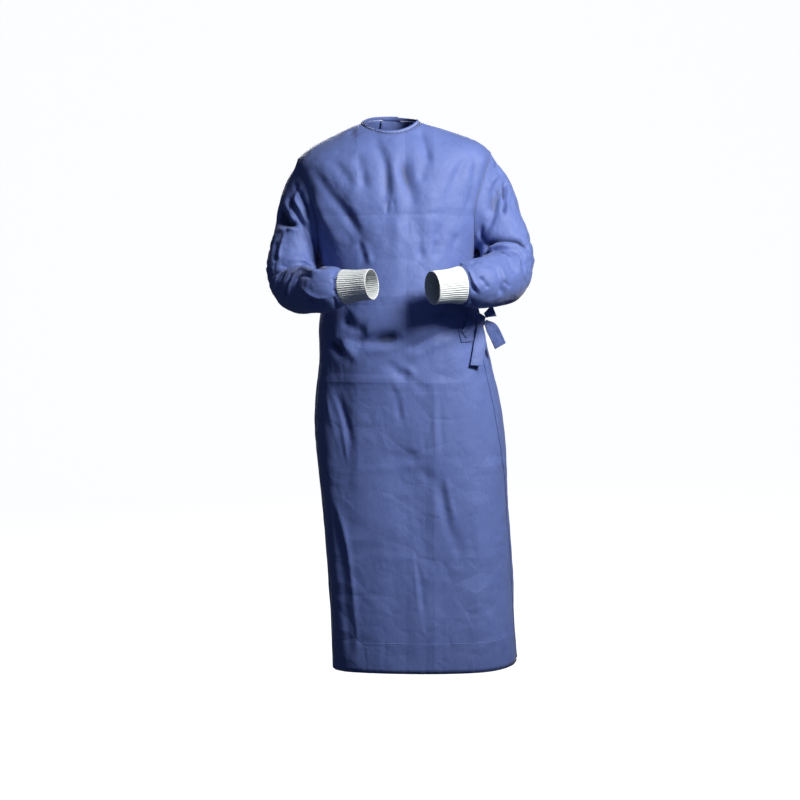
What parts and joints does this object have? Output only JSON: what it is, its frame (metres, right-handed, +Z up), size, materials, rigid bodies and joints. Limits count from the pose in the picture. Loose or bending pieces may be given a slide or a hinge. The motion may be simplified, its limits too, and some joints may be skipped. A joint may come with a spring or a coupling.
{
  "type": "surgical gown",
  "caption": "Long wrap-round surgical gown of blue nonwoven cloth in its worn, hollow shape, with bent sleeves, ribbed knit cuffs and a tie at the waist.",
  "frame": {"origin": "midway between the two side-neck points, where the wearer's shoulders hold the gown", "axes": "+Z up along the body, -Y out of the gown's front, +X towards the wearer's left"},
  "size_m": [0.6388, 0.4531, 1.3284],
  "materials": {
    "nonwoven_cloth": "matt, faintly shiny calendered nonwoven",
    "knit_cuff": "white ribbed knit",
    "binding_cloth": "matt folded nonwoven strip",
    "tie_cloth": "matt folded nonwoven strip",
    "closure_tape": "matt woven hook-and-loop tape"
  },
  "bodies": {
    "root": {"front_panel": "nonwoven_cloth", "back_wrap_panel": "nonwoven_cloth", "back_under_panel": "nonwoven_cloth", "sleeve_right": "nonwoven_cloth", "sleeve_left": "nonwoven_cloth", "cuff_right": "knit_cuff", "cuff_left": "knit_cuff", "neck_binding": "binding_cloth", "neck_tab": "closure_tape", "tie_patch": "tie_cloth", "tie_front": "tie_cloth", "tie_wrap": "tie_cloth", "tie_knot": "tie_cloth", "tie_loop": "tie_cloth", "tie_tail_front": "tie_cloth", "tie_tail_back": "tie_cloth"}
  },
  "joints": []
}
